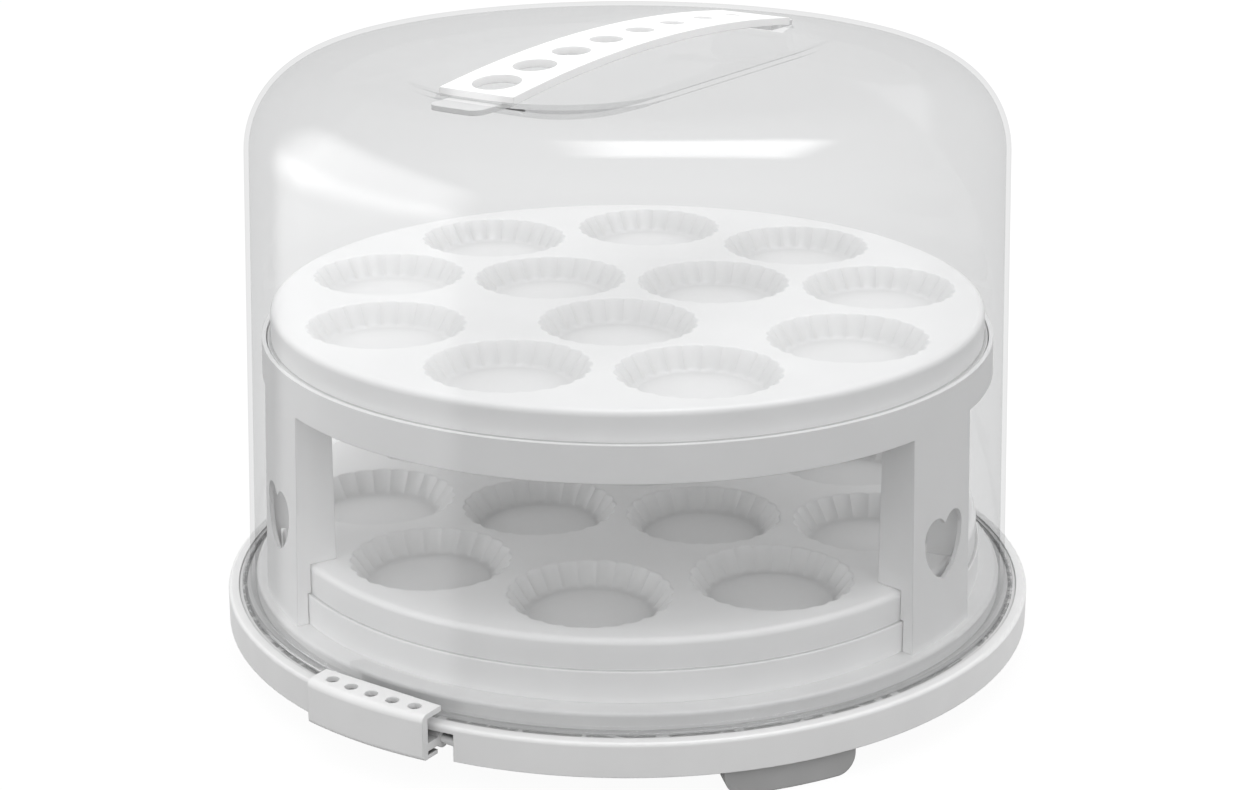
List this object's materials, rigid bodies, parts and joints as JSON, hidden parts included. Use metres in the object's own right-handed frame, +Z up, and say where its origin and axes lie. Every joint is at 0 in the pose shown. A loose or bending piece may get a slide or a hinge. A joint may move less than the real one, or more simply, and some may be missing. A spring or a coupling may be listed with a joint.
{
  "type": "cake dome",
  "caption": "Round clear cake dome with a strap handle over two fluted muffin trays, the upper one on a legged stand, on a dish with pads and hinged rim clips.",
  "frame": {"origin": "on the floor under the centre of the dish", "axes": "+Z up, +X through the right-hand clip and along the handle, -Y towards the front"},
  "size_m": [0.361, 0.345, 0.2586],
  "materials": {
    "white_plastic": "satin moulded plastic, white",
    "clear_plastic": "polished clear plastic",
    "grey_rubber": "matt grey grip rubber"
  },
  "bodies": {
    "base": {"base_dish": "white_plastic", "pad_front_left": "grey_rubber", "pad_rear_left": "grey_rubber", "pad_front_right": "grey_rubber", "pad_rear_right": "grey_rubber"},
    "clip_left": {"clip_left": "white_plastic"},
    "clip_right": {"clip_right": "white_plastic"},
    "lower_tray": {"lower_tray": "white_plastic"},
    "tier_stand": {"tier_stand": "white_plastic"},
    "upper_tray": {"upper_tray": "white_plastic"},
    "dome": {"dome": "clear_plastic", "handle": "white_plastic"}
  },
  "joints": [
    {"name": "clip_left_hinge", "type": "hinge", "parent": "base", "child": "clip_left", "pos_m": [-0.16562, 0, 0.0181], "axis": [0, -1, 0], "range_deg": [-6, 95]},
    {"name": "clip_right_hinge", "type": "hinge", "parent": "base", "child": "clip_right", "pos_m": [0.16562, 0, 0.0181], "axis": [0, 1, 0], "range_deg": [-6, 95]},
    {"name": "lower_tray_lift", "type": "slide", "parent": "base", "child": "lower_tray", "axis": [0, 0, 1], "range_m": [0, 0.05]},
    {"name": "stand_lift", "type": "slide", "parent": "lower_tray", "child": "tier_stand", "axis": [0, 0, 1], "range_m": [0, 0.06]},
    {"name": "upper_tray_lift", "type": "slide", "parent": "tier_stand", "child": "upper_tray", "axis": [0, 0, 1], "range_m": [0, 0.06]},
    {"name": "dome_lift", "type": "slide", "parent": "upper_tray", "child": "dome", "axis": [0, 0, 1], "range_m": [0, 0.16]}
  ]
}
